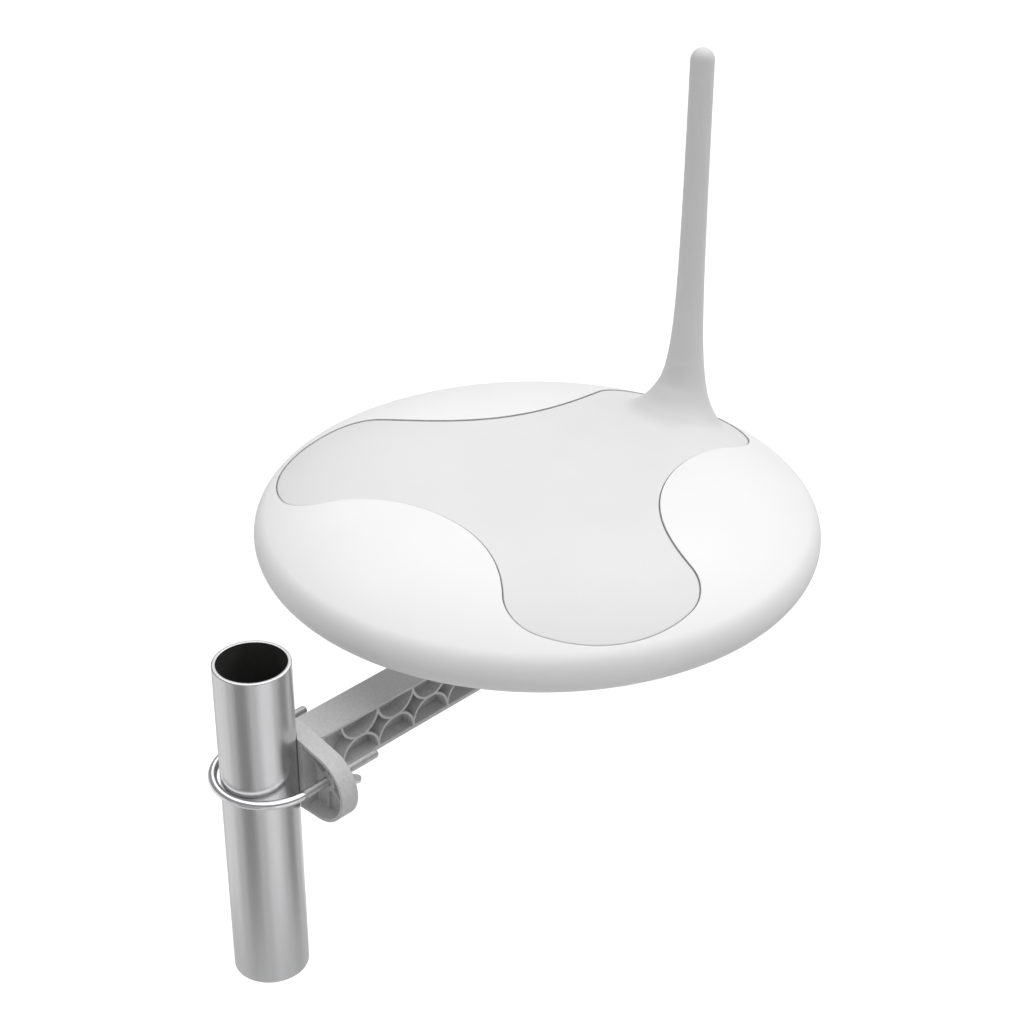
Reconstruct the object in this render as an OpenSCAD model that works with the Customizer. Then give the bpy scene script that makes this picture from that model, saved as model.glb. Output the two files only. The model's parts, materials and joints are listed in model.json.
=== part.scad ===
// Disc-shaped outdoor TV antenna with a whip, on a ribbed arm that is U-bolted to a round mast.
// The origin is the centre of the mast's lower end, +Z is up the mast, and +X runs out along the arm.

/* [Mast] */
// Outside diameter of the mast tube
mast_d = 50; // [48:0.5:52]
// Wall thickness of the mast tube
mast_wall = 2.5; // [2:0.5:3]
// Length of the mast section
mast_len = 240; // [235:5:400]

/* [Clamp] */
// Height of the U-bolt above the mast's lower end
clamp_z = 152; // [140:1:155]
// Rod diameter of the U-bolt
rod_d = 6; // [5:0.5:6]
// Distance between the two legs of the U-bolt
leg_gap = 70; // [68:1:72]
// Distance from the mast axis to the ends of the legs
leg_reach = 69.5; // [66:0.5:74]

/* [Arm] */
// Width of the arm
arm_w = 28; // [26:1:30]
// Height of the arm
arm_h = 34.8; // [34.8:0.2:36]
// Height of the arm's top face above the mast's lower end
arm_top = 168; // [167:0.5:169]

/* [Disc] */
// Radius of the disc
disc_r = 196.5; // [196:0.5:198]
// Distance from the mast axis to the disc's centre
disc_x = 258; // [256:1:262]
// Height of the rim's middle plane above the mast's lower end
rim_z = 234; // [234:1:236]
// Radius of the rounded rim
rim_r = 17; // [16.5:0.5:17.5]
// Height of the dome's middle above the rim's middle plane
dome_h = 39; // [38:0.5:40]
// Wall thickness of the shells
wall = 3; // [2.5:0.5:3]

/* [Whip] */
// Height of the whip's tip above the rim's middle plane
whip_h = 302; // [280:1:320]
// Radius of the whip near its tip
whip_r = 8.4; // [8:0.1:8.8]
// Distance from the disc's centre to the whip's axis
whip_x = 158.7; // [157:0.1:160]

/* [Hidden] */
$fn = 64;
eps = 0.01;

// Mast
mast_r = mast_d / 2;
mast_chamfer = 0.8;
mast_gap = 0.3;

// U-bolt: a half ring that touches the back of the mast, and two straight legs
rod_r = rod_d / 2;
leg_y = leg_gap / 2;
ring_x = leg_y - mast_r - rod_r - mast_gap;
thread_clear = 0.1;
leg_hole_r = rod_r + 0.3;

// Clamp head at the mast end of the arm: a shallow cup, open towards the mast
head_front = 18;
head_floor = 29;
head_back = 31;
lobe_r = 24.5;
head_wall = 2.3;
crest_half = 10;
crest_z = clamp_z + 31;
saddle_half = 22;
boss_r = 9;
boss_back = 33;
rib_w = 2;
rib_front = 26.5;
neck_r = 12;

// Nuts and washers on the legs
washer_t = 1.6;
washer_r = 6;
nut_t = 6.5;
nut_r = 5;
wing_t = 2.2;
wing_root = [3.6, 3.8];
wing_tip = [10, 8];
wing_tip_r = 3.2;
near_wing_turn = 8;
far_wing_turn = -20;
nut_x = boss_back + washer_t + 0.1;

// Arm
arm_bottom = arm_top - arm_h;
top_flange = 1.8;
bottom_flange = 2.8;
web_t = 7;
ring_pitch = 32;
ring_first = 75;
ring_count = 6;
rib_t = 1.4;
rib_weld = 0.3;
field_start = 43;
field_end = ring_first + ring_pitch * (ring_count - 0.5);
arm_end = disc_x + 30;
pad_r = 40;
pad_t = 5;
pad_screw = 21;

// Disc, measured from its centre and its rim's middle plane
floor_z = -34;
floor_r = 112;
pedestal_top_r = 58;
pedestal_bottom_r = 43;
gasket_t = 1.5;
pedestal_z = arm_top + gasket_t - rim_z;
tangent_angle = 60;
lip_r = 182;
lip_angle = 80;
bowl_r = lip_r - 0.3;
bowl_lip_z = 0.3 - rim_r;
bowl_lip_h = 8.5;
bowl_rise = 5;
bowl_run = 28;
dome_edge_r = disc_r - rim_r + rim_r * cos(tangent_angle);
dome_edge_z = rim_r * sin(tangent_angle);
dome_power = tan(90 - tangent_angle) * dome_edge_r / (dome_h - dome_edge_z);
dome_steps = 16;
rim_steps = 10;

// Three-lobed panel: each lobe has a round end and two rounded corners, and round bites part the lobes
panel_r = 185.2;
end_r = 85;
bite_d = 207;
bite_r = 120.4;
corner_r = 33;
arc_cross = 0.1;
end_centre = [panel_r - end_r, 0];
bite_centre = bite_d * [cos(60), sin(60)];
end_to_bite = bite_centre - end_centre;
corner_turn = atan2(end_to_bite[1], end_to_bite[0]) - acos(((end_r - corner_r) ^ 2 + norm(end_to_bite) ^ 2
    - (bite_r + corner_r) ^ 2) / (2 * (end_r - corner_r) * norm(end_to_bite)));
panel_t = 2.7;
panel_gap = 0.35;
pan_t = 2.4;
pan_lap = 5;

// Whip: the radius grows towards the base as flare_k / (height + flare_z)^2
flare_k = 33500;
flare_z = 8.4;
flare_start = 40;
whip_steps = 16;
whip_bore_r = 3.4;
rod_top = whip_h - 20;
rod_foot = 4.5;
whip_rod_r = 2;

// Inner parts
board_z = -22.8;
board_t = 1.6;
board_x = 60;
board_l = 60;
board_w = 60;
board_top = board_z + board_t;
carrier_z = -3;
carrier_t = 3;
element_t = 1.2;
element_r = 148;
post_r = 4;
drain_at = 95;
posts = [[0, 85], [-85, 0], [0, -85], [130, 0]];
f_x = 76;
f_body_r = 6;
f_thread_r = 4.76;
f_thread_l = 11;
f_seal_t = 1.2;
f_nut_t = 3;
f_shoulder = floor_z - f_seal_t - f_nut_t - 0.4;
socket_r = 4.5;
shell_screw_r = 165;
shell_screw_turn = 18;
panel_screw_r = 128;
panel_screw_turn = 9;
panel_boss_z = 28;
screw_seat_z = -16;
rivet_places = [30, 95];

// Height of the dome's outer face above the rim's middle plane, at radius r
function dome_z(r) = dome_h - (dome_h - dome_edge_z) * (r / dome_edge_r) ^ dome_power;
// Radius of the whip at height h above the rim's middle plane
function whip_radius(h) = whip_r - 0.4 + flare_k / (h + flare_z) ^ 2;
// Half outline of the dome lowered by t, from the middle out to the start of the rim
function dome_line(t) = [for (i = [0 : dome_steps])
    let (r = dome_edge_r * sin(90 * i / dome_steps), slope = (r / dome_edge_r) ^ 3)
    [max(0, r - t * sin(90 - tangent_angle) * slope),
        dome_z(r) - t * (1 - (1 - cos(90 - tangent_angle)) * slope)]];
// Half outline of the rim lowered by t, from the dome's edge to below
function rim_line(t) = [for (i = [1 : rim_steps])
    let (a = tangent_angle - (tangent_angle + lip_angle) * i / rim_steps)
    [disc_r - rim_r + (rim_r - t) * cos(a), (rim_r - t) * sin(a)]];
// A point mirrored to the other side of the x axis
function flip(p) = [p[0], -p[1]];
// A point turned by a about the origin
function spun(p, a) = [p[0] * cos(a) - p[1] * sin(a), p[0] * sin(a) + p[1] * cos(a)];
// Tangent point on a circle of radius r about c, seen from point p
function tangent_point(p, c, r) =
    let (v = c - p, d = norm(v), a = atan2(v[1], v[0]) + asin(r / d), l = sqrt(d ^ 2 - r ^ 2))
    p + l * [cos(a), sin(a)];

module at_disc() { translate([disc_x, 0, rim_z]) children(); }
module along_x(x) { translate([x, 0, 0]) rotate([90, 0, 90]) children(); }
module across_y(w) { rotate([90, 0, 0]) translate([0, 0, -w / 2]) linear_extrude(w) children(); }
module both_legs() { for (s = [-1, 1]) translate([0, s * leg_y, clamp_z]) children(); }
module each_lobe() { for (k = [0 : 2]) rotate(120 * k) children(); }
module each_shell_screw() {
    for (k = [0 : 2], s = [-1, 1]) rotate(60 + 120 * k + s * shell_screw_turn)
        translate([shell_screw_r, 0, 0]) children();
}
module each_panel_screw() {
    for (k = [0 : 2], s = [-1, 1]) rotate(120 * k + s * panel_screw_turn)
        translate([panel_screw_r, 0, 0]) children();
}
module each_pad_screw() {
    for (x = [-pad_screw, pad_screw], y = [-pad_screw, pad_screw]) translate([disc_x + x, y, 0]) children();
}
module each_element(k) { rotate(45 + 90 * k) children(); }
module hex(flats, h) { linear_extrude(h) circle(d = flats / cos(30), $fn = 6); }
module tube(r_out, r_in, h) {
    difference() {
        cylinder(r = r_out, h = h);
        translate([0, 0, -1]) cylinder(r = r_in, h = h + 2);
    }
}

// A pan-head screw that stands on z = 0, with its head below and its shank above
module pan_screw(head_r, head_h, shank_r, shank_l) {
    difference() {
        translate([0, 0, -head_h]) cylinder(r = head_r, h = head_h);
        translate([0, 0, -head_h - 1]) linear_extrude(head_h * 0.6 + 1)
            screw_cross(head_r * 1.1, head_r * 0.3);
    }
    cylinder(r = shank_r, h = shank_l);
}
module screw_cross(l, w) {
    square([l, w], center = true);
    square([w, l], center = true);
}

// ---- mast ----
module mast_tube() {
    color("silver") rotate_extrude() polygon([
        [mast_r - mast_wall, 0], [mast_r, 0], [mast_r, mast_len - mast_chamfer],
        [mast_r - mast_chamfer, mast_len], [mast_r - mast_wall, mast_len]]);
}

// ---- clamp head and arm ----
module head_outline(r, crest) {
    point = tangent_point([crest_half, crest], [leg_y, clamp_z], r);
    for (s = [-1, 1]) translate([s * leg_y, clamp_z]) circle(r = r);
    polygon([[-leg_y, clamp_z - r], [leg_y, clamp_z - r], [leg_y, clamp_z], point, [crest_half, crest],
        [-crest_half, crest], [-point[0], point[1]], [-leg_y, clamp_z]]);
}
module head_ribs() {
    for (s = [-1, 1], a = [-50, 0, 50]) translate([s * leg_y, clamp_z]) rotate(a)
        square([rib_w, 2 * lobe_r], center = true);
}
module head_cup() {
    along_x(head_floor) linear_extrude(head_back - head_floor) head_outline(lobe_r, crest_z);
    along_x(head_front) linear_extrude(head_floor - head_front) difference() {
        head_outline(lobe_r, crest_z);
        head_outline(lobe_r - head_wall, crest_z - head_wall);
    }
    along_x(head_front) linear_extrude(head_floor - head_front) intersection() {
        head_outline(lobe_r - 1, crest_z - 1);
        translate([-saddle_half, 0]) square([2 * saddle_half, crest_z]);
    }
    along_x(rib_front) linear_extrude(head_floor - rib_front) intersection() {
        head_outline(lobe_r - 1, crest_z - 1);
        head_ribs();
    }
    both_legs() along_x(rib_front) cylinder(r = boss_r - 2, h = head_floor - rib_front);
    both_legs() along_x(head_back - eps) cylinder(r = boss_r, h = boss_back - head_back);
}
module neck_fillets() {
    rise = crest_z - arm_top;
    across_y(arm_w) difference() {
        translate([head_back - eps, arm_top - top_flange]) square([rise - 1, rise + top_flange - 1]);
        translate([head_back + rise, crest_z]) circle(r = rise);
    }
    translate([0, 0, arm_bottom]) linear_extrude(arm_h) difference() {
        translate([head_back - eps, -arm_w / 2 - neck_r + 1]) square([neck_r - 1, arm_w + 2 * neck_r - 2]);
        for (s = [-1, 1]) translate([head_back + neck_r, s * (arm_w / 2 + neck_r)]) circle(r = neck_r);
    }
}
module beam() {
    translate([head_back - eps, -web_t / 2, arm_bottom]) cube([arm_end - head_back, web_t, arm_h]);
    translate([head_back - eps, -arm_w / 2, arm_top - top_flange])
        cube([arm_end - head_back, arm_w, top_flange]);
    translate([head_back - eps, -arm_w / 2, arm_bottom]) cube([arm_end - head_back, arm_w, bottom_flange]);
    translate([field_end, -arm_w / 2, arm_bottom]) cube([arm_end - field_end, arm_w, arm_h]);
    across_y(arm_w) intersection() {
        translate([field_start, arm_bottom]) square([field_end - field_start, arm_h]);
        for (k = [0 : ring_count - 1], z = [arm_top, arm_bottom + bottom_flange])
            translate([ring_first + k * ring_pitch, z]) difference() {
                circle(r = ring_pitch / 2 + rib_t / 2 + rib_weld);
                circle(r = ring_pitch / 2 - rib_t / 2);
            }
    }
}
module support_arm() {
    color("darkgray") difference() {
        union() {
            head_cup();
            neck_fillets();
            beam();
            translate([disc_x, 0, arm_top - pad_t]) cylinder(r = pad_r, h = pad_t);
        }
        cylinder(r = mast_r + mast_gap, h = mast_len);
        both_legs() along_x(0) cylinder(r = leg_hole_r, h = boss_back + 1);
        each_pad_screw() translate([0, 0, arm_bottom]) cylinder(r = 2.75, h = arm_h + 1);
    }
}
module u_bolt() {
    color("gainsboro") {
        translate([ring_x, 0, clamp_z]) rotate(90) rotate_extrude(angle = 180)
            translate([leg_y, 0]) circle(r = rod_r);
        both_legs() along_x(ring_x) cylinder(r = rod_r, h = leg_reach - ring_x - 0.6);
        both_legs() along_x(leg_reach - 0.6) cylinder(r1 = rod_r, r2 = rod_r - 0.6, h = 0.6);
    }
}
module leg_washers() {
    color("silver") both_legs() along_x(boss_back) tube(washer_r, leg_hole_r, washer_t);
}
module wing() {
    reach = wing_tip - wing_root;
    across = wing_tip_r * [-reach[1], reach[0]] / norm(reach);
    rotate([90, 0, 0]) translate([0, 0, -wing_t / 2]) linear_extrude(wing_t) {
        polygon([wing_root - 0.8 * across, wing_tip - across, wing_tip + across, wing_root + 0.8 * across]);
        translate(wing_tip) circle(r = wing_tip_r + 0.02);
    }
}
module leg_nut(side, turn) {
    translate([0, side * leg_y, clamp_z]) along_x(nut_x) difference() {
        union() {
            cylinder(r1 = nut_r + 0.6, r2 = nut_r + 0.6, h = 1.2);
            translate([0, 0, 1.2 - eps]) cylinder(r1 = nut_r, r2 = nut_r - 0.7, h = nut_t - 1.2);
            for (k = [0, 180]) rotate(turn + k) wing();
        }
        translate([0, 0, -1]) cylinder(r = rod_r + thread_clear, h = nut_t + 2);
    }
}
module near_nut() { color("silver") leg_nut(-1, near_wing_turn); }
module far_nut() { color("silver") leg_nut(1, far_wing_turn); }

// ---- pedestal joint between the arm and the lower shell ----
module arm_screws() {
    color("silver") each_pad_screw() translate([0, 0, arm_top - pad_t]) pan_screw(4.75, 3, 2.4, 15);
}
module pedestal_gasket() {
    color("dimgray") difference() {
        translate([disc_x, 0, arm_top]) tube(pad_r, 12, gasket_t);
        each_pad_screw() translate([0, 0, arm_top - 1]) cylinder(r = 2.75, h = gasket_t + 2);
    }
}
module pedestal_inserts() {
    color("goldenrod") each_pad_screw() translate([0, 0, arm_top + gasket_t]) tube(3.5, 2.5, 9);
}

// ---- shells ----
// Height of the bowl's outer face at radius r, near the floor
function bowl_z(r) = floor_z + bowl_rise * max(0, r - floor_r) / bowl_run;
module bowl_region(t) {
    rotate_extrude() polygon([[0, floor_z + t], [floor_r, floor_z + t],
        [floor_r + bowl_run, floor_z + bowl_rise + t], [bowl_r - 2, bowl_lip_z + t],
        [bowl_r, bowl_lip_z + t], [bowl_r, 0], [0, 0]]);
}
module bowl() {
    difference() {
        bowl_region(0);
        bowl_region(wall);
        translate([0, 0, wall - rim_r]) cylinder(r = lip_r + 1, h = rim_r);
    }
    translate([0, 0, bowl_lip_z]) tube(bowl_r, bowl_r - wall, bowl_lip_h);
}
module pedestal() {
    h = floor_z - pedestal_z;
    translate([0, 0, pedestal_z]) difference() {
        cylinder(r1 = pedestal_bottom_r, r2 = pedestal_top_r, h = h + 1);
        translate([0, 0, 4]) cylinder(r1 = pedestal_bottom_r - wall, r2 = pedestal_top_r - wall, h = h);
    }
}
module board_corners() {
    for (x = [5, board_l - 5], y = [5 - board_w / 2, board_w / 2 - 5])
        translate([board_x + x, y, 0]) children();
}
module lower_shell() {
    color("white") difference() {
        union() {
            at_disc() difference() {
                bowl();
                translate([0, 0, floor_z - 1]) cylinder(r = pedestal_top_r - wall, h = wall + 2);
            }
            at_disc() pedestal();
            each_pad_screw() translate([0, 0, arm_top + gasket_t]) cylinder(r = 6, h = 14);
            at_disc() for (p = posts)
                translate([p[0], p[1], bowl_z(norm(p)) + 1])
                    cylinder(r = post_r, h = carrier_z - bowl_z(norm(p)) - 1);
            at_disc() board_corners() translate([0, 0, floor_z + wall / 2])
                cylinder(r = 3.5, h = board_z - floor_z - wall / 2);
            at_disc() intersection() {
                each_shell_screw() translate([0, 0, -30]) cylinder(r = 6, h = 20.8);
                bowl_region(0);
            }
        }
        each_pad_screw() translate([0, 0, arm_top]) cylinder(r = 3.55, h = gasket_t + 10);
        at_disc() {
            for (p = posts) translate([p[0], p[1], carrier_z - 12]) cylinder(r = 1.35, h = 13);
            board_corners() translate([0, 0, board_z - 7]) cylinder(r = 1.15, h = 8);
            each_shell_screw() translate([0, 0, screw_seat_z - 20]) cylinder(r = 4, h = 20);
            each_shell_screw() translate([0, 0, screw_seat_z - 1]) cylinder(r = 1.9, h = 10);
            translate([f_x, 0, floor_z - 1]) cylinder(r = f_body_r + 0.2, h = wall + 2);
            for (k = [0 : 2]) rotate(60 + 120 * k) translate([drain_at, 0, floor_z - 1])
                cylinder(r = 2, h = wall + 2);
        }
    }
}
// The three-lobed outline, grown by g on all sides; its arcs cross by a hair where they meet
module lobes(g) {
    turn = [cos(corner_turn), sin(corner_turn)];
    corner = end_centre + (end_r - corner_r) * turn;
    edge = end_centre + end_r * turn;
    beyond = end_centre + 1.5 * end_r * turn;
    difference() {
        union() {
            polygon([for (k = [0 : 2], p = [flip(corner), flip(edge), edge, corner, bite_centre])
                spun(p, 120 * k)]);
            each_lobe() intersection() {
                translate(end_centre) circle(r = end_r + g, $fn = 128);
                polygon([end_centre, beyond, flip(beyond)]);
            }
            each_lobe() for (c = [corner, flip(corner)]) translate(c) circle(r = corner_r + g + arc_cross);
        }
        each_lobe() translate(bite_centre) circle(r = bite_r - g, $fn = 180);
    }
}
module lobe_prism(g) { linear_extrude(60) lobes(g); }
// Everything above the dome's outer face lowered by t
module above_dome(t) {
    line = dome_line(t);
    top = whip_h + 20;
    rotate_extrude() polygon(concat(line, [[line[dome_steps][0], top], [0, top]]));
}
module dome_layer(t0, t1) {
    rotate_extrude() polygon(concat(dome_line(t0), reverse(dome_line(t1))));
}
function reverse(list) = [for (i = [len(list) - 1 : -1 : 0]) list[i]];
module upper_shell() {
    color("white") at_disc() difference() {
        union() {
            rotate_extrude() polygon(concat(dome_line(0), rim_line(0), reverse(rim_line(wall)),
                reverse(dome_line(wall))));
            intersection() {
                dome_layer(wall - 0.5, wall + pan_t);
                lobe_prism(pan_lap);
            }
            each_shell_screw() translate([0, 0, -9]) cylinder(r = 4.5, h = 32);
        }
        intersection() {
            above_dome(wall);
            lobe_prism(panel_gap);
        }
        each_shell_screw() translate([0, 0, -10]) cylinder(r = 1.45, h = 18);
        each_panel_screw() cylinder(r = 4.3, h = 40);
        translate([whip_x, 0, 0]) cylinder(r = socket_r + 1.5, h = 40);
    }
}
module whip() {
    rise = [for (i = [0 : whip_steps])
        flare_start + (whip_h - whip_r - flare_start) * (i / whip_steps) ^ 1.7];
    rotate_extrude() polygon(concat([[0, 10], [whip_radius(flare_start), 10]],
        [for (h = rise) [h == rise[whip_steps] ? whip_r : whip_radius(h), h]], [[0, rise[whip_steps]]]));
    translate([0, 0, whip_h - whip_r]) sphere(r = whip_r);
}
module lobe_panel() {
    color("gainsboro") at_disc() difference() {
        union() {
            intersection() {
                dome_layer(0, panel_t);
                lobe_prism(0);
            }
            intersection() {
                translate([whip_x, 0, 0]) whip();
                above_dome(panel_t);
            }
            difference() {
                each_panel_screw() translate([0, 0, panel_boss_z]) cylinder(r = 4, h = 12);
                above_dome(panel_t / 2);
            }
        }
        translate([whip_x, 0, 0]) cylinder(r = whip_bore_r, h = rod_top + 3);
        each_panel_screw() translate([0, 0, panel_boss_z - 1]) cylinder(r = 1.3, h = 6);
    }
}
module rim_gasket() {
    color("dimgray") at_disc() rotate_extrude() translate([lip_r + 1.3, -11.6]) circle(r = 1.45);
}
module shell_screws() {
    color("silver") at_disc() each_shell_screw() translate([0, 0, screw_seat_z])
        pan_screw(3.6, 2.4, 1.4, 20);
}
module panel_screws() {
    color("silver") at_disc() each_panel_screw() translate([0, 0, panel_boss_z])
        pan_screw(6, 1.6, 1.25, 4.5);
}

// ---- whip element and its feed ----
module whip_rod() {
    color("goldenrod") at_disc() translate([whip_x, 0, rod_foot])
        cylinder(r = whip_rod_r, h = rod_top - rod_foot);
}
module whip_socket() {
    color("goldenrod") at_disc() translate([whip_x, 0, 0]) difference() {
        union() {
            translate([0, 0, carrier_z - 1.5]) cylinder(r = 8, h = 1.5);
            translate([0, 0, carrier_z - eps]) cylinder(r = socket_r, h = 20 - carrier_z);
        }
        translate([0, 0, 4]) cylinder(r = whip_rod_r + 0.05, h = 20);
    }
}
module whip_strap() {
    strap_z = carrier_z - 2;
    strap_x = board_x + board_l - 4;
    color("peru") at_disc() {
        translate([strap_x, 5, strap_z]) cube([whip_x - strap_x, 5, 0.5]);
        translate([strap_x, 5, board_top]) cube([0.5, 5, strap_z - board_top + 0.5]);
    }
}

// ---- element carrier and the four crossed elements ----
module carrier_arm(l, w) {
    translate([0, -w / 2]) square([l, w]);
    translate([l, 0]) circle(r = w / 2);
}
module element_carrier() {
    color("ivory") at_disc() translate([0, 0, carrier_z]) linear_extrude(carrier_t) difference() {
        union() {
            circle(r = 46);
            for (p = posts) rotate(atan2(p[1], p[0])) carrier_arm(norm(p), 16);
            for (k = [0 : 3]) each_element(k) carrier_arm(104, 14);
            carrier_arm(whip_x, 24);
        }
        for (p = posts) translate(p) circle(r = 1.7);
        for (k = [0 : 3], r = rivet_places) each_element(k) translate([r, 0]) circle(r = 2.05);
        translate([whip_x, 0]) circle(r = socket_r + 0.1);
    }
}
module element(k) {
    color("silver") at_disc() each_element(k) linear_extrude(element_t) difference() {
        intersection() {
            polygon([[16, -7], [element_r * 1.1, -38], [element_r * 1.1, 38], [16, 7]]);
            circle(r = element_r, $fn = 180);
        }
        translate([108, -7]) square([26, 14]);
        for (s = [0, 26]) translate([108 + s, 0]) circle(r = 7);
        for (r = rivet_places) translate([r, 0]) circle(r = 2.05);
    }
}
module element_front_left() { element(0); }
module element_back_left() { element(1); }
module element_back_right() { element(2); }
module element_front_right() { element(3); }
module element_rivets() {
    color("darkgray") at_disc() for (k = [0 : 3], r = rivet_places) each_element(k) translate([r, 0, 0]) {
        translate([0, 0, carrier_z - eps]) cylinder(r = 2, h = carrier_t + element_t + 2 * eps);
        translate([0, 0, element_t]) cylinder(r1 = 3.6, r2 = 2.6, h = 1);
        translate([0, 0, carrier_z - 0.8]) cylinder(r = 3.6, h = 0.8);
    }
}
module carrier_screws() {
    color("silver") at_disc() for (p = posts) translate([p[0], p[1], 0]) mirror([0, 0, 1])
        pan_screw(3.4, 2.2, 1.3, 12);
}

// ---- amplifier ----
module amplifier_board() {
    color("seagreen") at_disc() translate([0, 0, board_z]) linear_extrude(board_t) difference() {
        translate([board_x, -board_w / 2]) square([board_l, board_w]);
        board_corners() circle(r = 1.6);
        translate([f_x, 0]) circle(r = 0.8);
    }
}
module shield_can() {
    can = [44, 36, 9];
    skin = 0.5;
    color("silver") at_disc() translate([board_x + 6, -can[1] / 2, board_top]) difference() {
        cube(can);
        translate([skin, skin, -1]) cube([can[0] - 2 * skin, can[1] - 2 * skin, can[2] - skin + 1]);
    }
}
module balun_core() {
    core_r = 4;
    pitch = 6;
    color("dimgray") at_disc() translate([board_x + 32, -28, board_top + core_r]) rotate([0, 90, 0])
        linear_extrude(9) difference() {
            union() {
                for (s = [0, pitch]) translate([0, s]) circle(r = core_r);
                translate([-core_r, 0]) square([2 * core_r, pitch]);
            }
            for (s = [0, pitch]) translate([0, s]) circle(r = 1.6);
        }
}
module board_parts() {
    color("darkslategray") at_disc() {
        for (x = [14, 22]) translate([board_x + x, 24, board_top]) cylinder(r = 3, h = 8);
        translate([board_x + 33, 24, board_top]) tube(4, 2, 3.2);
        for (x = [42, 46]) translate([board_x + x, 22, board_top]) cube([2, 4, 1.2]);
        translate([board_x + 14, -27, board_top]) cube([12, 6, 2.5]);
    }
}
module board_screws() {
    color("silver") at_disc() board_corners() translate([0, 0, board_top]) mirror([0, 0, 1])
        pan_screw(2.6, 1.8, 1.1, 7);
}

// ---- cable inlet ----
module f_socket() {
    color("silver") at_disc() translate([f_x, 0, 0]) difference() {
        union() {
            translate([0, 0, f_shoulder]) cylinder(r = f_body_r, h = board_z - f_shoulder);
            translate([0, 0, f_shoulder - f_thread_l]) cylinder(r = f_thread_r, h = f_thread_l + eps);
        }
        translate([0, 0, f_shoulder - f_thread_l - 1]) cylinder(r = 3.2, h = 2);
        translate([0, 0, f_shoulder - f_thread_l - 1]) cylinder(r = 0.6, h = 9);
    }
}
module f_washer() {
    color("dimgray") at_disc() translate([f_x, 0, floor_z - f_seal_t]) tube(9.5, f_body_r + 0.1, f_seal_t);
}
module f_nut() {
    color("silver") at_disc() translate([f_x, 0, floor_z - f_seal_t - f_nut_t]) difference() {
        hex(16, f_nut_t);
        translate([0, 0, -1]) cylinder(r = f_body_r + 0.1, h = f_nut_t + 2);
    }
}

mast_tube();
support_arm();
u_bolt();
leg_washers();
near_nut();
far_nut();
arm_screws();
pedestal_gasket();
pedestal_inserts();
lower_shell();
upper_shell();
lobe_panel();
rim_gasket();
shell_screws();
panel_screws();
whip_rod();
whip_socket();
whip_strap();
element_carrier();
element_front_left();
element_back_left();
element_back_right();
element_front_right();
element_rivets();
carrier_screws();
amplifier_board();
shield_can();
balun_core();
board_parts();
board_screws();
f_socket();
f_washer();
f_nut();
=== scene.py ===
import json  # noqa: E402
import math  # noqa: E402

import bpy  # noqa: E402
import numpy as np  # noqa: E402
from mathutils import Matrix, Vector  # noqa: E402
from mathutils.geometry import delaunay_2d_cdt  # noqa: E402


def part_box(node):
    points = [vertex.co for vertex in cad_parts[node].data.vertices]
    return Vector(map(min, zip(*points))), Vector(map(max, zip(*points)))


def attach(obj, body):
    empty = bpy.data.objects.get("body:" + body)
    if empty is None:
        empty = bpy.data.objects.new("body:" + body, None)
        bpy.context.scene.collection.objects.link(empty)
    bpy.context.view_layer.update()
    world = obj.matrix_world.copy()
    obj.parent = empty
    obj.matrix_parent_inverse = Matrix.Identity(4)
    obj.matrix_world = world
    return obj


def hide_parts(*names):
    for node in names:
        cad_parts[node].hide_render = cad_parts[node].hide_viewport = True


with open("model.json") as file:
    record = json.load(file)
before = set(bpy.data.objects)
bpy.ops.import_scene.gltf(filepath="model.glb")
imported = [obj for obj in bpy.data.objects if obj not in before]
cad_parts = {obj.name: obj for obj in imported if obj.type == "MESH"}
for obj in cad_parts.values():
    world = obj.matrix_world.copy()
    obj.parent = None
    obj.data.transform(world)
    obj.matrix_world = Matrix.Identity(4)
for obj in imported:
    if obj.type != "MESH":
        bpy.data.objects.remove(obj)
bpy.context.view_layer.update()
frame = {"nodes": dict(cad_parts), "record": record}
MM = 0.001  # every size below is in mm; meshes are made in metres

# ---- places and sizes, from the CAD nodes' boxes ----
_, mast_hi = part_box("mast_tube")
bolt_lo, bolt_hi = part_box("u_bolt")
shell_lo, shell_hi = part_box("upper_shell")
rod_lo, rod_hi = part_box("whip_rod")
_, panel_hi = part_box("lobe_panel")

MAST_R = mast_hi.x / MM
MAST_TOP = mast_hi.z / MM
MAST_WALL = 2.5
ROD_R = (bolt_hi.z - bolt_lo.z) / 2 / MM
CLAMP_Z = (bolt_hi.z + bolt_lo.z) / 2 / MM
LEG_Y = bolt_hi.y / MM - ROD_R
LEG_END = bolt_hi.x / MM
RING_X = bolt_lo.x / MM + ROD_R + LEG_Y
DISC_X = (shell_lo.x + shell_hi.x) / 2 / MM
DISC_R = (shell_hi.x - shell_lo.x) / 2 / MM
RIM_R = 17.0
LIP = math.radians(80)
RIM_Z = shell_lo.z / MM + RIM_R * math.sin(LIP)
WHIP_X = (rod_lo.x + rod_hi.x) / 2 / MM - DISC_X
WHIP_TOP = panel_hi.z / MM - RIM_Z
DISC_AT = (DISC_X, 0.0, RIM_Z)

# ---- the dome, the lobes and the whip's flare, in mm from the disc's centre and rim plane ----
DOME_H = 39.0
EDGE_TURN = math.radians(60)
EDGE_R = DISC_R - RIM_R + RIM_R * math.cos(EDGE_TURN)
EDGE_Z = RIM_R * math.sin(EDGE_TURN)
DOME_POWER = math.tan(math.pi / 2 - EDGE_TURN) * EDGE_R / (DOME_H - EDGE_Z)
SHELL_T = 3.0

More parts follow.
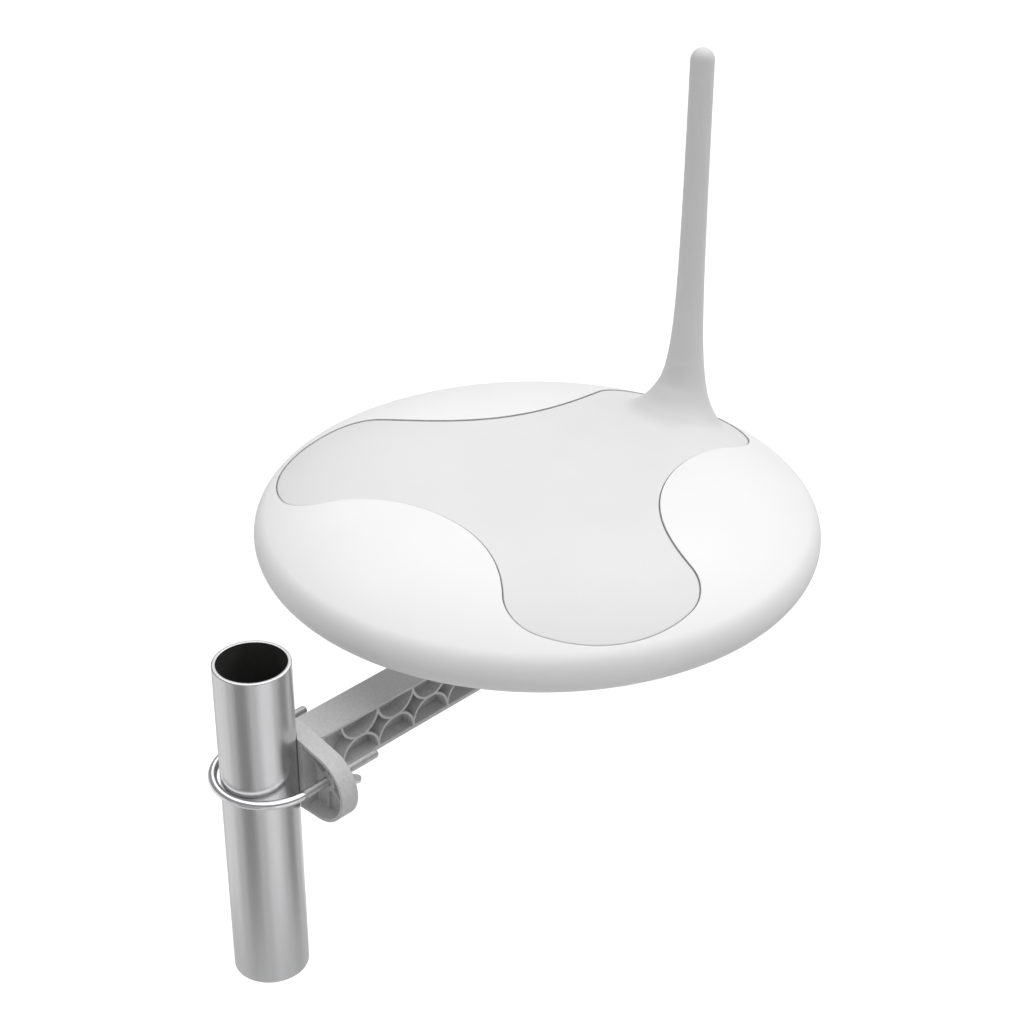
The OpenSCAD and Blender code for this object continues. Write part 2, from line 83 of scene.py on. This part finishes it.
LOBE_R, END_R, CORNER_R, BITE_D, BITE_R = 185.2, 85.0, 33.0, 207.0, 120.4
END_AT = np.array([LOBE_R - END_R, 0.0])
BITE_AT = BITE_D * np.array([math.cos(math.pi / 3), math.sin(math.pi / 3)])
END_TO_BITE = BITE_AT - END_AT
CORNER_TURN = math.atan2(END_TO_BITE[1], END_TO_BITE[0]) - math.acos(
    ((END_R - CORNER_R) ** 2 + END_TO_BITE @ END_TO_BITE - (BITE_R + CORNER_R) ** 2)
    / (2 * (END_R - CORNER_R) * math.sqrt(END_TO_BITE @ END_TO_BITE))
)
CORNER_AT = END_AT + (END_R - CORNER_R) * np.array([math.cos(CORNER_TURN), math.sin(CORNER_TURN)])
ARC_STEPS = (60, 44, 70)  # points along half a lobe's end, its corner and half a bite
GROOVE = 0.8  # gap between the panel and the shell beside it
SUNK = 0.7  # how far the panel lies below the shell beside it

WHIP_SIDES = 96
FLARE_K, FLARE_Z, WHIP_CORE = 33500.0, 8.4, 8.0
FLARE_OFF = 0.5  # how much further the flare spreads towards the disc's middle than away from it
FLARE_LEAN = 20.0  # out to here the flare stands on a level base, further out on the dome
FLARE_SOFT, FLARE_SOFT_AT = 3.0, 24.0
FLARE_FADE = (26.0, 44.0)  # the flare dies away between these distances
FIELD_D = 13.0  # inside this distance from the whip's axis, the whip is built by rings, not as a height field


def step(a, b, x):
    """0 below a, 1 above b, and a smooth change between them."""
    t = np.clip((x - a) / (b - a), 0.0, 1.0)
    return t * t * (3 - 2 * t)


def dome_z(r):
    """Height of the plain dome above the rim's middle plane."""
    return DOME_H - (DOME_H - EDGE_Z) * (np.abs(r) / EDGE_R) ** DOME_POWER


def whip_radius(h):
    return WHIP_CORE + FLARE_K / (h + FLARE_Z) ** 2


def flare_ring(near, n=WHIP_SIDES):
    """Points all round the whip where the flare's own distance is near."""
    a = np.linspace(0, 2 * math.pi, n, endpoint=False)
    d = WHIP_CORE + (near - WHIP_CORE) * (1 - FLARE_OFF * np.cos(a))
    return np.column_stack([WHIP_X + d * np.cos(a), d * np.sin(a)])


def flare_distance(x, y):
    """Distance from the whip's axis, evened out so that the flare's height depends on it alone."""
    dx = x - WHIP_X
    d = np.maximum(np.hypot(dx, y), 1e-6)
    return WHIP_CORE + (d - WHIP_CORE) / (1 - FLARE_OFF * dx / d)


def top_z(x, y):
    """Height of the dome's outer face, with the whip's flare on it."""
    dome = dome_z(np.hypot(x, y))
    near = np.maximum(flare_distance(x, y), FIELD_D)
    base = dome_z(WHIP_X)
    rise = math.sqrt(FLARE_K) / np.sqrt(near - WHIP_CORE) - FLARE_Z - base
    soft = FLARE_SOFT * step(FIELD_D, FLARE_SOFT_AT, near)
    rise = 0.5 * (rise + np.sqrt(rise**2 + soft**2))
    rise = rise * (1 - step(*FLARE_FADE, near))
    lean = 1 - step(FIELD_D, FLARE_LEAN, near)
    return dome * (1 - lean) + base * lean + rise


def top_normal(x, y):
    e = 0.05
    gx = (top_z(x + e, y) - top_z(x - e, y)) / (2 * e)
    gy = (top_z(x, y + e) - top_z(x, y - e)) / (2 * e)
    n = np.stack([-gx, -gy, np.ones_like(gx)], 1)
    return n / np.linalg.norm(n, axis=1)[:, None]


def arc(cx, cy, r, a0, a1, n):
    """n points from angle a0 up to, but without, a1."""
    a = np.linspace(a0, a1, n, endpoint=False)
    return np.stack([cx + r * np.cos(a), cy + r * np.sin(a)], 1)


def turned(points, angle):
    """Points turned about the origin."""
    c, s = math.cos(angle), math.sin(angle)
    return points @ np.array([[c, s], [-s, c]])


def lobe_outline(g):
    """The three-lobed outline moved out by g. Every g gives matching points."""
    away = math.atan2(*(BITE_AT - CORNER_AT)[::-1])
    half = np.concatenate(
        [
            arc(*END_AT, END_R + g, 0.0, CORNER_TURN, ARC_STEPS[0]),
            arc(*CORNER_AT, CORNER_R + g, CORNER_TURN, away, ARC_STEPS[1]),
            arc(*BITE_AT, BITE_R - g, away - math.pi, -2 * math.pi / 3, ARC_STEPS[2]),
        ]
    )
    middle = (BITE_D - BITE_R + g) * np.array([[math.cos(math.pi / 3), math.sin(math.pi / 3)]])
    mirror = turned(half[1:] * [1, -1], 2 * math.pi / 3)[::-1]
    one = np.concatenate([half, middle, mirror])
    return np.concatenate([turned(one, 2 * math.pi * k / 3) for k in range(3)])


def circle(cx, cy, r, n):
    return arc(cx, cy, r, 0.0, 2 * math.pi, n)


def inside(points, loop):
    """Which points lie inside a closed loop."""
    x, y = points[:, 0][:, None], points[:, 1][:, None]
    x0, y0 = loop[:, 0][None], loop[:, 1][None]
    x1, y1 = np.roll(loop[:, 0], -1)[None], np.roll(loop[:, 1], -1)[None]
    cross = (y0 > y) != (y1 > y)
    at = x0 + (y - y0) * (x1 - x0) / np.where(y1 == y0, 1e-12, y1 - y0)
    return (np.sum(cross & (x < at), axis=1) % 2) == 1


def clear_of(points, loop, gap):
    """Which points are more than gap away from a loop's points."""
    d2 = (points[:, 0][:, None] - loop[:, 0][None]) ** 2 + (points[:, 1][:, None] - loop[:, 1][None]) ** 2
    return d2.min(1) > gap * gap


def hex_points(lo, hi, h):
    """Points of a triangular grid with spacing h, over a square."""
    xs = np.arange(lo, hi, h)
    rows = [np.column_stack([xs + (i % 2) * h / 2, np.full(len(xs), y)])
            for i, y in enumerate(np.arange(lo, hi, h * 0.866))]
    return np.concatenate(rows)


def flat_mesh(loops, points):
    """Triangles over closed loops and loose points. The loops' points keep their places in the list."""
    pts, edges = [], []
    for loop in loops:
        base = len(pts)
        pts += [Vector(p) for p in loop]
        edges += [(base + i, base + (i + 1) % len(loop)) for i in range(len(loop))]
    pts += [Vector(p) for p in points]
    v, _, f, orig, _, _ = delaunay_2d_cdt(pts, edges, [], 0, 1e-7)
    place = [o[0] for o in orig]
    tri = np.array([[place[i] for i in t] for t in f])
    return np.array([p[:] for p in pts]), tri


# ---- meshes ----
def rotated_rows(rows, n):
    """Points of a profile [(r, z), ...] turned about the z axis, row by row."""
    a = np.linspace(0, 2 * math.pi, n, endpoint=False)
    return np.concatenate([np.stack([r * np.cos(a), r * np.sin(a), np.full(n, z)], 1) for r, z in rows])


def row_faces(base_a, base_b, n):
    """Quads between two closed rows of n points each."""
    return [(base_a + i, base_a + (i + 1) % n, base_b + (i + 1) % n, base_b + i) for i in range(n)]


def make_mesh(name, verts, faces, at=(0.0, 0.0, 0.0), normals=None, face_materials=None):
    """An object from points in mm. Rows of normals that are nan keep the mesh's own."""
    mesh = bpy.data.meshes.new(name)
    verts = (np.asarray(verts, float) + np.asarray(at, float)) * MM
    mesh.from_pydata([tuple(p) for p in verts], [], [tuple(int(i) for i in f) for f in faces])
    mesh.validate()
    mesh.polygons.foreach_set("use_smooth", [True] * len(mesh.polygons))
    if face_materials is not None:
        mesh.polygons.foreach_set("material_index", face_materials)
    mesh.update()
    if normals is not None:
        own = np.array([v.normal[:] for v in mesh.vertices])
        use = np.isfinite(normals).all(1)
        own[use] = normals[use]
        mesh.normals_split_custom_set_from_vertices([tuple(n) for n in own])
    obj = bpy.data.objects.new(name, mesh)
    bpy.context.scene.collection.objects.link(obj)
    return obj


def ring_profile(cx, cz, r, a0, a1, n):
    """n profile points round an arc, both ends included."""
    return [(cx + r * math.cos(a), cz + r * math.sin(a)) for a in np.linspace(a0, a1, n)]


# how a panel's edge rounds over: (distance from the groove, depth below the face)
EDGE_ROWS = [(-0.7, 0.0), (-0.45, 0.02), (-0.25, 0.08), (-0.1, 0.2), (-0.02, 0.36), (0.0, 0.55), (0.0, 2.2)]


def skirt(sign, start):
    """Rows that round a panel edge over: outlines moved by start, then lowered below the dome."""
    verts = []
    for g, drop in EDGE_ROWS:
        loop = lobe_outline(start + sign * g)
        verts.append(np.column_stack([loop, top_z(loop[:, 0], loop[:, 1]) - drop]))
    return verts


GRID_REACH, GRID, FINE_GRID = 190.0, 4.5, 2.0  # the fine grid covers the whip's flare
GRID_CLEAR, FINE_CLEAR = 2.6, 1.3  # no loose point lies nearer an edge
FLARE_RINGS = (13.35, 13.8, 14.4, 15.1, 16.0, 17.0, 18.2, 19.6, 21.2)
FINE_FROM, FINE_TO, GRID_FROM, FINE_REACH = 22.6, 44.5, 46.0, 72.0
SUNK_FADE = (40.0, 80.0)  # heights on the whip between which the panel's sinking fades out
WHIP_ROWS, TIP_ROWS = 44, 16
TIP_BELOW = 9  # the tip takes the whip's radius this far below its top


def make_panel():
    """The three-lobed panel with the whip, one moulding."""
    loop = lobe_outline(EDGE_ROWS[0][0])
    hole = flare_ring(FIELD_D)
    rings = [flare_ring(d) for d in FLARE_RINGS]
    coarse = hex_points(-GRID_REACH, GRID_REACH, GRID)
    fine = hex_points(-FINE_REACH, FINE_REACH, FINE_GRID) + [WHIP_X, 0.0]
    far = flare_distance(*coarse.T) > GRID_FROM
    close = flare_distance(*fine.T)
    coarse = coarse[far & inside(coarse, loop) & clear_of(coarse, loop, GRID_CLEAR)]
    fine = fine[(close > FINE_FROM) & (close < FINE_TO) & inside(fine, loop)
                & clear_of(fine, loop, FINE_CLEAR)]
    pts, tri = flat_mesh([loop, hole] + rings, np.concatenate([fine, coarse]))
    mid = pts[tri].mean(1)
    outside_hole = FIELD_D * 0.9995
    tri = tri[inside(mid, loop) & (flare_distance(*mid.T) > outside_hole)]
    verts = [np.column_stack([pts, top_z(*pts.T)])]
    normals = [top_normal(*pts.T)]
    faces = [tuple(t) for t in tri]
    n = len(loop)
    # the rounded edge, down into the groove
    base, last = len(pts), 0
    for row in skirt(1, 0.0)[1:]:
        verts.append(row)
        normals.append(np.full((n, 3), np.nan))
        faces += [(b, a, d, c) for a, b, c, d in row_faces(last, base, n)]
        last, base = base, base + n
    # the whip, ring by ring from the flare up
    foot = math.sqrt(FLARE_K / (FIELD_D - WHIP_CORE)) - FLARE_Z
    tip_r = whip_radius(WHIP_TOP - TIP_BELOW)
    crowding = 1.25  # above 1, rows lie closer together near the foot
    heights = foot + (WHIP_TOP - tip_r - foot) * np.linspace(0, 1, WHIP_ROWS)[1:] ** crowding
    whip = [np.column_stack([flare_ring(whip_radius(h)), np.full(WHIP_SIDES, h)]) for h in heights]
    for b in np.linspace(0, math.pi / 2, TIP_ROWS)[1:-1]:
        tip = (flare_ring(tip_r) - [WHIP_X, 0.0]) * math.cos(b) + [WHIP_X, 0.0]
        height = WHIP_TOP - tip_r + tip_r * math.sin(b)
        whip.append(np.column_stack([tip, np.full(WHIP_SIDES, height)]))
    rows = len(whip)
    whip = np.concatenate(whip)
    verts.append(whip)
    normals.append(np.full((len(whip), 3), np.nan))
    last = n
    for k in range(rows):
        faces += row_faces(last, base + WHIP_SIDES * k, WHIP_SIDES)
        last = base + WHIP_SIDES * k
    base += len(whip)
    verts.append(np.array([[WHIP_X, 0, WHIP_TOP]]))
    normals.append(np.array([[0.0, 0.0, 1.0]]))
    faces += [(last + i, last + (i + 1) % WHIP_SIDES, base) for i in range(WHIP_SIDES)]
    verts = np.concatenate(verts)
    verts[:, 2] -= SUNK * (1 - step(*SUNK_FADE, verts[:, 2]))
    return make_mesh("lobe_cover", verts, faces, DISC_AT, np.concatenate(normals))


def make_shell():
    """The upper shell: the dome round the panel, the groove, the rim and the inner face."""
    count, rim_rows, lip_rows, inner_rows = 288, 44, 16, 20
    rim_clear = 2.5  # no loose point lies nearer the rim's first row
    loop = lobe_outline(GROOVE - EDGE_ROWS[0][0])
    rim = circle(0, 0, EDGE_R, count)
    grid = hex_points(-GRID_REACH, GRID_REACH, GRID)
    clear = ~inside(grid, loop) & clear_of(grid, loop, GRID_CLEAR)
    grid = grid[(np.hypot(*grid.T) < EDGE_R - rim_clear) & clear]
    pts, tri = flat_mesh([rim, loop], grid)
    mid = pts[tri].mean(1)
    tri = tri[~inside(mid, loop) & (np.hypot(*mid.T) < EDGE_R)]
    verts = [np.column_stack([pts, top_z(*pts.T)])]
    normals = [top_normal(*pts.T)]
    normals[0][:count] = rotated_rows([(math.cos(EDGE_TURN), math.sin(EDGE_TURN))], count)
    faces = [tuple(t) for t in tri]
    slots = [0] * len(faces)
    base, last, n = len(pts), count, len(loop)
    rows = skirt(-1, GROOVE)[1:]
    ledge_w, ledge_drop = 5.0, 2.6
    ledge = lobe_outline(-ledge_w)
    rows.append(np.column_stack([ledge, dome_z(np.hypot(*ledge.T)) - ledge_drop]))
    for k, row in enumerate(rows):
        verts.append(row)
        normals.append(np.full((n, 3), np.nan))
        faces += row_faces(last, base, n)
        # the groove walls below the rounded edge take material 1, painted darker grey as shade in the groove
        below_round = k > 1
        slots += [1 if below_round else 0] * n
        last, base = base, base + n
    # the rounded rim, its lip, and the inner face
    centre = DISC_R - RIM_R
    outer = ring_profile(centre, 0.0, RIM_R, EDGE_TURN, -LIP, rim_rows)[1:]
    lip = [(centre + (RIM_R - 0.4) * math.cos(LIP) - 0.05, -(RIM_R - 0.1) * math.sin(LIP))]
    inner = ring_profile(centre, 0.0, RIM_R - SHELL_T, -LIP, EDGE_TURN, lip_rows)
    inner += [(q, dome_z(q) - SHELL_T) for q in np.linspace(EDGE_R - 1.6, 8.0, inner_rows)]
    profile = outer + lip + inner
    body = rotated_rows(profile, count)
    verts.append(body)
    given = np.full((len(body), 3), np.nan)
    outward = ring_profile(0.0, 0.0, 1.0, EDGE_TURN, -LIP, rim_rows)[1:]
    given[:len(outer) * count] = rotated_rows(outward, count)
    normals.append(given)
    last = 0
    for k in range(len(profile)):
        faces += [(q, p, s, t) for p, q, t, s in row_faces(last, base + count * k, count)]
        last = base + count * k
    base += len(body)
    verts.append(np.array([[0.0, 0.0, DOME_H - SHELL_T]]))
    normals.append(np.array([[0.0, 0.0, -1.0]]))
    faces += [(last + (i + 1) % count, last + i, base) for i in range(count)]
    slots += [0] * (len(faces) - len(slots))
    return make_mesh("dome_shell", np.concatenate(verts), faces, DISC_AT, np.concatenate(normals), slots)


def make_mast():
    """The tube, with a bright cut and chamfered end. Material 1 is its inner wall, painted near black as
    shade.
    """
    inner = MAST_R - MAST_WALL
    chamfer, sides, outer_rows, inner_rows = 0.8, 160, 40, 24
    outside = [(MAST_R, z) for z in np.linspace(0.0, MAST_TOP - chamfer - 0.25, outer_rows)]
    top = ring_profile(MAST_R - chamfer, MAST_TOP - chamfer, chamfer, 0.0, math.pi / 2, 7)
    top += ring_profile(inner + 0.3, MAST_TOP - 0.3, 0.3, math.pi / 2, math.pi, 5)
    inside_rows = [(inner, z) for z in np.linspace(MAST_TOP - chamfer, 0.0, inner_rows)]
    rows = outside + top + inside_rows
    verts = rotated_rows(rows, sides)
    faces, slots = [], []
    for k in range(len(rows)):
        faces += row_faces(sides * k, sides * ((k + 1) % len(rows)), sides)
        # the inner wall takes material 1, painted near black as shade inside the tube
        inner_face = k >= len(outside) + len(top) and k < len(rows) - 1
        slots += [1 if inner_face else 0] * sides
    obj = make_mesh("mast_pipe", verts, faces, face_materials=slots)
    obj.data.set_sharp_from_angle(angle=math.radians(50))
    return obj


def make_u_bolt():
    """A bent rod, with a rolled M6 thread on each leg."""
    sides, bend_rows, pitch, thread_from = 40, 90, 1.0, RING_X
    thread_depth, run_in, point_l, point_drop = 0.34, 2.5, 1.2, 0.9
    path = []
    for a in np.linspace(math.pi / 2, 3 * math.pi / 2, bend_rows):
        path.append(((RING_X + LEG_Y * math.cos(a), LEG_Y * math.sin(a)), (-math.sin(a), math.cos(a)), 0.0))
    leg = list(np.arange(thread_from, LEG_END - 0.05, pitch / 8))[1:] + [LEG_END - 0.04]
    left = [((x, LEG_Y), (-1.0, 0.0), x) for x in reversed(leg)]
    right = [((x, -LEG_Y), (1.0, 0.0), x) for x in leg]
    rows = left + path + right
    verts, faces, slots = [], [], []
    turns = np.linspace(0, 2 * math.pi, sides, endpoint=False)
    for (px, py), (tx, ty), x in rows:
        side = np.array([ty, -tx, 0.0])
        rad = np.full(sides, ROD_R)
        if x > thread_from:
            phase = ((x / pitch) - np.sign(py) * turns / (2 * math.pi)) % 1.0
            depth = thread_depth * (1 - np.abs(2 * phase - 1)) ** 0.8
            rad = rad - depth * min(1.0, (x - thread_from) / run_in)
            end = LEG_END - x
            if end < point_l:
                rad = np.minimum(rad, ROD_R - point_drop * (1 - end / point_l))
        verts.append(np.array([px, py, CLAMP_Z]) + rad[:, None] * (
            np.cos(turns)[:, None] * side + np.sin(turns)[:, None] * np.array([0.0, 0.0, 1.0])))
    for k in range(len(rows) - 1):
        faces += [(b, a, d, c) for a, b, c, d in row_faces(sides * k, sides * (k + 1), sides)]
        slots += [1 if rows[k][2] > thread_from else 0] * sides
    verts = np.concatenate(verts)
    first, end = len(verts), len(verts) + 1
    verts = np.vstack([verts, [[LEG_END, LEG_Y, CLAMP_Z], [LEG_END, -LEG_Y, CLAMP_Z]]])
    last = sides * (len(rows) - 1)
    faces += [(first, (i + 1) % sides, i) for i in range(sides)]
    faces += [(end, last + i, last + (i + 1) % sides) for i in range(sides)]
    slots += [1] * (2 * sides)
    return make_mesh("clamp_rod", verts, [tuple(reversed(f)) for f in faces], face_materials=slots)


# ---- materials ----
def add_node(tree, kind, **inputs):
    """A new node, with values for its inputs. An underscore in a name stands for a space."""
    made = tree.nodes.new(kind)
    for key, value in inputs.items():
        made.inputs[key.replace("_", " ")].default_value = value
    return made


def shader_of(mat):
    return next(n for n in mat.node_tree.nodes if n.type == "BSDF_PRINCIPLED")


def material(name, colour, rough, metal=0.0, vary=0.04, grain=60.0, stretch=(1, 1, 1), rough_vary=0.06,
             bump=0.02, bump_grain=900.0):
    """A principled material whose colour, roughness and surface all vary a little with noise."""
    mat = bpy.data.materials.new(name)
    mat.use_nodes = True
    tree = mat.node_tree
    shader = shader_of(mat)
    shader.inputs["Metallic"].default_value = metal
    coord = add_node(tree, "ShaderNodeTexCoord")
    mapping = add_node(tree, "ShaderNodeMapping", Scale=stretch)
    cloud = add_node(tree, "ShaderNodeTexNoise", Scale=grain, Detail=4.0)
    fine = add_node(tree, "ShaderNodeTexNoise", Scale=bump_grain, Detail=3.0)
    ramp = add_node(tree, "ShaderNodeValToRGB")
    gloss = add_node(tree, "ShaderNodeMapRange", To_Min=max(0.03, rough - rough_vary),
                     To_Max=min(1.0, rough + rough_vary))
    relief = add_node(tree, "ShaderNodeBump", Strength=bump, Distance=0.0005)
    low, high = ramp.color_ramp.elements
    low.position, high.position = 0.3, 0.7
    low.color = (*[c * (1 - vary) for c in colour], 1)
    high.color = (*[min(1.0, c * (1 + vary)) for c in colour], 1)
    for start, end in [
        (coord.outputs["Object"], mapping.inputs["Vector"]),
        (mapping.outputs["Vector"], cloud.inputs["Vector"]),
        (mapping.outputs["Vector"], fine.inputs["Vector"]),
        (cloud.outputs["Fac"], ramp.inputs["Fac"]),
        (ramp.outputs["Color"], shader.inputs["Base Color"]),
        (fine.outputs["Fac"], gloss.inputs["Value"]),
        (gloss.outputs["Result"], shader.inputs["Roughness"]),
        (fine.outputs["Fac"], relief.inputs["Height"]),
        (relief.outputs["Normal"], shader.inputs["Normal"]),
    ]:
        tree.links.new(start, end)
    return mat


def board_material():
    """Green solder mask, paler along a net of tracks."""
    mat = material("board", (0.02, 0.16, 0.06), 0.35, vary=0.15, grain=200.0)
    tree = mat.node_tree
    shader = shader_of(mat)
    ramp = shader.inputs["Base Color"].links[0].from_node
    coord = next(n for n in tree.nodes if n.type == "TEX_COORD")
    brick = add_node(tree, "ShaderNodeTexBrick", Scale=180.0, Mortar_Size=0.05, Mortar=(0.05, 0.3, 0.12, 1))
    tree.links.new(coord.outputs["Object"], brick.inputs["Vector"])
    tree.links.new(ramp.outputs["Color"], brick.inputs["Color1"])
    tree.links.new(ramp.outputs["Color"], brick.inputs["Color2"])
    tree.links.new(brick.outputs["Color"], shader.inputs["Base Color"])
    return mat


LOOK_VALUES = {
    "shell_white": dict(colour=(0.86, 0.86, 0.86), rough=0.42, vary=0.012, grain=14.0, bump=0.05,
                        bump_grain=1600.0),
    "panel_grey": dict(colour=(0.75, 0.75, 0.75), rough=0.48, vary=0.015, grain=16.0, bump=0.06,
                       bump_grain=1500.0),
    "arm_plastic": dict(colour=(0.62, 0.62, 0.62), rough=0.5, vary=0.07, grain=500.0, bump=0.25,
                        bump_grain=1500.0),
    "galvanised_steel": dict(colour=(0.64, 0.64, 0.65), rough=0.23, metal=1.0, vary=0.05,
                             grain=120.0, stretch=(1, 1, 0.05), rough_vary=0.05, bump=0.12,
                             bump_grain=2600.0),
    "zinc_plate": dict(colour=(0.82, 0.82, 0.83), rough=0.16, metal=1.0, vary=0.05, grain=300.0,
                       bump=0.05),
    "screw_steel": dict(colour=(0.7, 0.7, 0.7), rough=0.28, metal=1.0, vary=0.05, grain=400.0,
                        bump=0.08),
    "rubber_black": dict(colour=(0.025, 0.025, 0.026), rough=0.75, vary=0.2, grain=300.0, bump=0.3),
    "brass": dict(colour=(0.72, 0.52, 0.22), rough=0.28, metal=1.0, vary=0.08, grain=300.0, bump=0.08),
    "copper": dict(colour=(0.78, 0.38, 0.22), rough=0.3, metal=1.0, vary=0.1, grain=300.0, bump=0.08),
    "carrier_plastic": dict(colour=(0.68, 0.67, 0.62), rough=0.5, vary=0.03, grain=40.0, bump=0.1),
    "element_aluminium": dict(colour=(0.76, 0.77, 0.78), rough=0.32, metal=1.0, vary=0.05,
                              grain=80.0, stretch=(1, 0.08, 1), bump=0.1, bump_grain=2000.0),
    "tinplate": dict(colour=(0.66, 0.66, 0.65), rough=0.22, metal=1.0, vary=0.08, grain=250.0,
                     bump=0.1),
    "ferrite": dict(colour=(0.05, 0.048, 0.046), rough=0.6, vary=0.2, grain=600.0, bump=0.3),
    "component_dark": dict(colour=(0.04, 0.04, 0.045), rough=0.4, vary=0.2, grain=500.0, bump=0.15),
    "nickel_plate": dict(colour=(0.72, 0.7, 0.66), rough=0.2, metal=1.0, vary=0.05, grain=300.0,
                         bump=0.06),
}
LOOKS = {name: material(name, **look) for name, look in LOOK_VALUES.items()}
LOOKS["board_green"] = board_material()
ROLLED_THREAD = material("rolled_thread", (0.6, 0.6, 0.6), 0.42, metal=0.9, vary=0.1, grain=500.0, bump=0.15)
# painted shade: the shell's groove walls are painted mid grey so that the gap beside the panel reads as a
# dark line
SEAM_SHADE = material("seam_shade", (0.42, 0.42, 0.42), 0.7, vary=0.15, grain=200.0, bump=0.2)
# painted shade: the tube's inner wall is painted near black, standing in for the shade deep inside it
MAST_INSIDE_SHADE = material("mast_inside_shade", (0.035, 0.034, 0.033), 0.7, vary=0.25, grain=80.0, bump=0.2)

for part in frame["record"]["subparts"]:
    cad = frame["nodes"][part["node"]]
    cad.data.materials.clear()
    cad.data.materials.append(LOOKS[part["material_slot"]])


def dress(obj, body, slot, *nodes):
    """Gives a piece its material, its body and the CAD nodes it stands for."""
    obj.data.materials.append(LOOKS[slot])
    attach(obj, body)
    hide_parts(*nodes)
    return obj


dress(make_panel(), "antenna", "panel_grey", "lobe_panel")
shell = dress(make_shell(), "antenna", "shell_white", "upper_shell")
shell.data.materials.append(SEAM_SHADE)
mast = dress(make_mast(), "mast", "galvanised_steel", "mast_tube")
mast.data.materials.append(MAST_INSIDE_SHADE)
bolt = dress(make_u_bolt(), "clamp_bolt", "zinc_plate", "u_bolt")
bolt.data.materials.append(ROLLED_THREAD)

# ---- floor, light and camera ----
floor_mesh = bpy.data.meshes.new("floor")
reach, floor_z = 14.0, -0.45  # in metres
floor_glow = 0.5  # only seen by the camera, so that the floor is white without lighting the object
floor_mesh.from_pydata([(-reach, -reach, floor_z), (reach, -reach, floor_z), (reach, reach, floor_z),
                        (-reach, reach, floor_z)], [], [(0, 1, 2, 3)])
floor = bpy.data.objects.new("floor", floor_mesh)
bpy.context.scene.collection.objects.link(floor)
floor_look = material("floor_paint", (0.56, 0.56, 0.56), 0.85, vary=0.0, grain=3.0, bump=0.0)
floor_mesh.materials.append(floor_look)


def seen_directly(tree, base, extra):
    """A strength of base, plus extra where the camera sees the surface directly."""
    path = tree.nodes.new("ShaderNodeLightPath")
    total = tree.nodes.new("ShaderNodeMath")
    total.operation = "MULTIPLY_ADD"
    total.inputs[1].default_value = extra
    total.inputs[2].default_value = base
    tree.links.new(path.outputs["Is Camera Ray"], total.inputs[0])
    return total.outputs[0]


floor_shader = shader_of(floor_look)
floor_shader.inputs["Emission Color"].default_value = (1, 1, 1, 1)
floor_look.node_tree.links.new(seen_directly(floor_look.node_tree, 0.0, floor_glow),
                               floor_shader.inputs["Emission Strength"])

world_light, world_shown = 0.3, 0.7  # what lights the object, and what only the camera sees on top
world = bpy.data.worlds.new("studio")
world.use_nodes = True
bpy.context.scene.world = world
back = world.node_tree.nodes["Background"]
back.inputs["Color"].default_value = (1, 1, 1, 1)
world.node_tree.links.new(seen_directly(world.node_tree, world_light, world_shown), back.inputs["Strength"])

sun = bpy.data.lights.new("soft_sky", "SUN")
sun.energy = 2.65
sun.angle = math.radians(100)
sky = bpy.data.objects.new("soft_sky", sun)
sky.rotation_euler = (0, math.radians(14), 0)
bpy.context.scene.collection.objects.link(sky)

# studio cards that only show in reflections, so that bare metal has something to mirror
# (bearing and width in degrees, glow) of each
CARDS = [(-29, 40, 0.27), (40, 42, 0.92), (-106, 60, 0.86), (98, 32, 0.28), (176, 60, 0.8)]
CARD_FAR, CARD_LOW, CARD_HIGH, CARD_STEPS = 0.6, -0.44, 0.05, 8  # distance and heights in metres
TO_CAMERA = math.radians(223.7)  # from the mast to the camera, seen from above


def card(n, bearing, width, glow):
    """A tall card round the mast. bearing is its side of the line from the mast to the camera, in degrees."""
    turn = np.linspace(-0.5, 0.5, CARD_STEPS + 1) * math.radians(width) + TO_CAMERA + math.radians(bearing)
    verts = [(CARD_FAR * math.cos(t), CARD_FAR * math.sin(t), z) for z in (CARD_LOW, CARD_HIGH) for t in turn]
    faces = [(i, i + 1, i + CARD_STEPS + 2, i + CARD_STEPS + 1) for i in range(CARD_STEPS)]
    mesh = bpy.data.meshes.new(f"card_{n}")
    mesh.from_pydata(verts, [], faces)
    look = bpy.data.materials.new(f"card_{n}")
    look.use_nodes = True
    shader = shader_of(look)
    shader.inputs["Base Color"].default_value = (0.02, 0.02, 0.02, 1)
    shader.inputs["Emission Color"].default_value = (1, 1, 1, 1)
    shader.inputs["Emission Strength"].default_value = glow
    mesh.materials.append(look)
    obj = bpy.data.objects.new(f"card_{n}", mesh)
    bpy.context.scene.collection.objects.link(obj)
    obj.visible_camera = obj.visible_diffuse = obj.visible_shadow = False
    obj.visible_transmission = obj.visible_volume_scatter = False


for n, (bearing, width, glow) in enumerate(CARDS):
    card(n, bearing, width, glow)

camera_at = (-0.6628, -0.8563, 0.9647)  # in metres
focal_length, sensor_width = 73.08, 36.0
camera_data = bpy.data.cameras.new("camera")
camera_data.lens = focal_length
camera_data.sensor_width = sensor_width
camera = bpy.data.objects.new("camera", camera_data)
yaw, pitch, roll = math.radians(43.674), math.radians(29.975), math.radians(0.302)
look = Vector((math.cos(yaw) * math.cos(pitch), math.sin(yaw) * math.cos(pitch), -math.sin(pitch)))
side = Vector((math.sin(yaw), -math.cos(yaw), 0))
up = side.cross(look)
right = side * math.cos(roll) + up * math.sin(roll)
top = up * math.cos(roll) - side * math.sin(roll)
turn = Matrix((right, top, -look)).transposed()
camera.matrix_world = Matrix.Translation(camera_at) @ turn.to_4x4()
bpy.context.scene.collection.objects.link(camera)
bpy.context.scene.camera = camera
bpy.context.scene.view_settings.view_transform = "Standard"
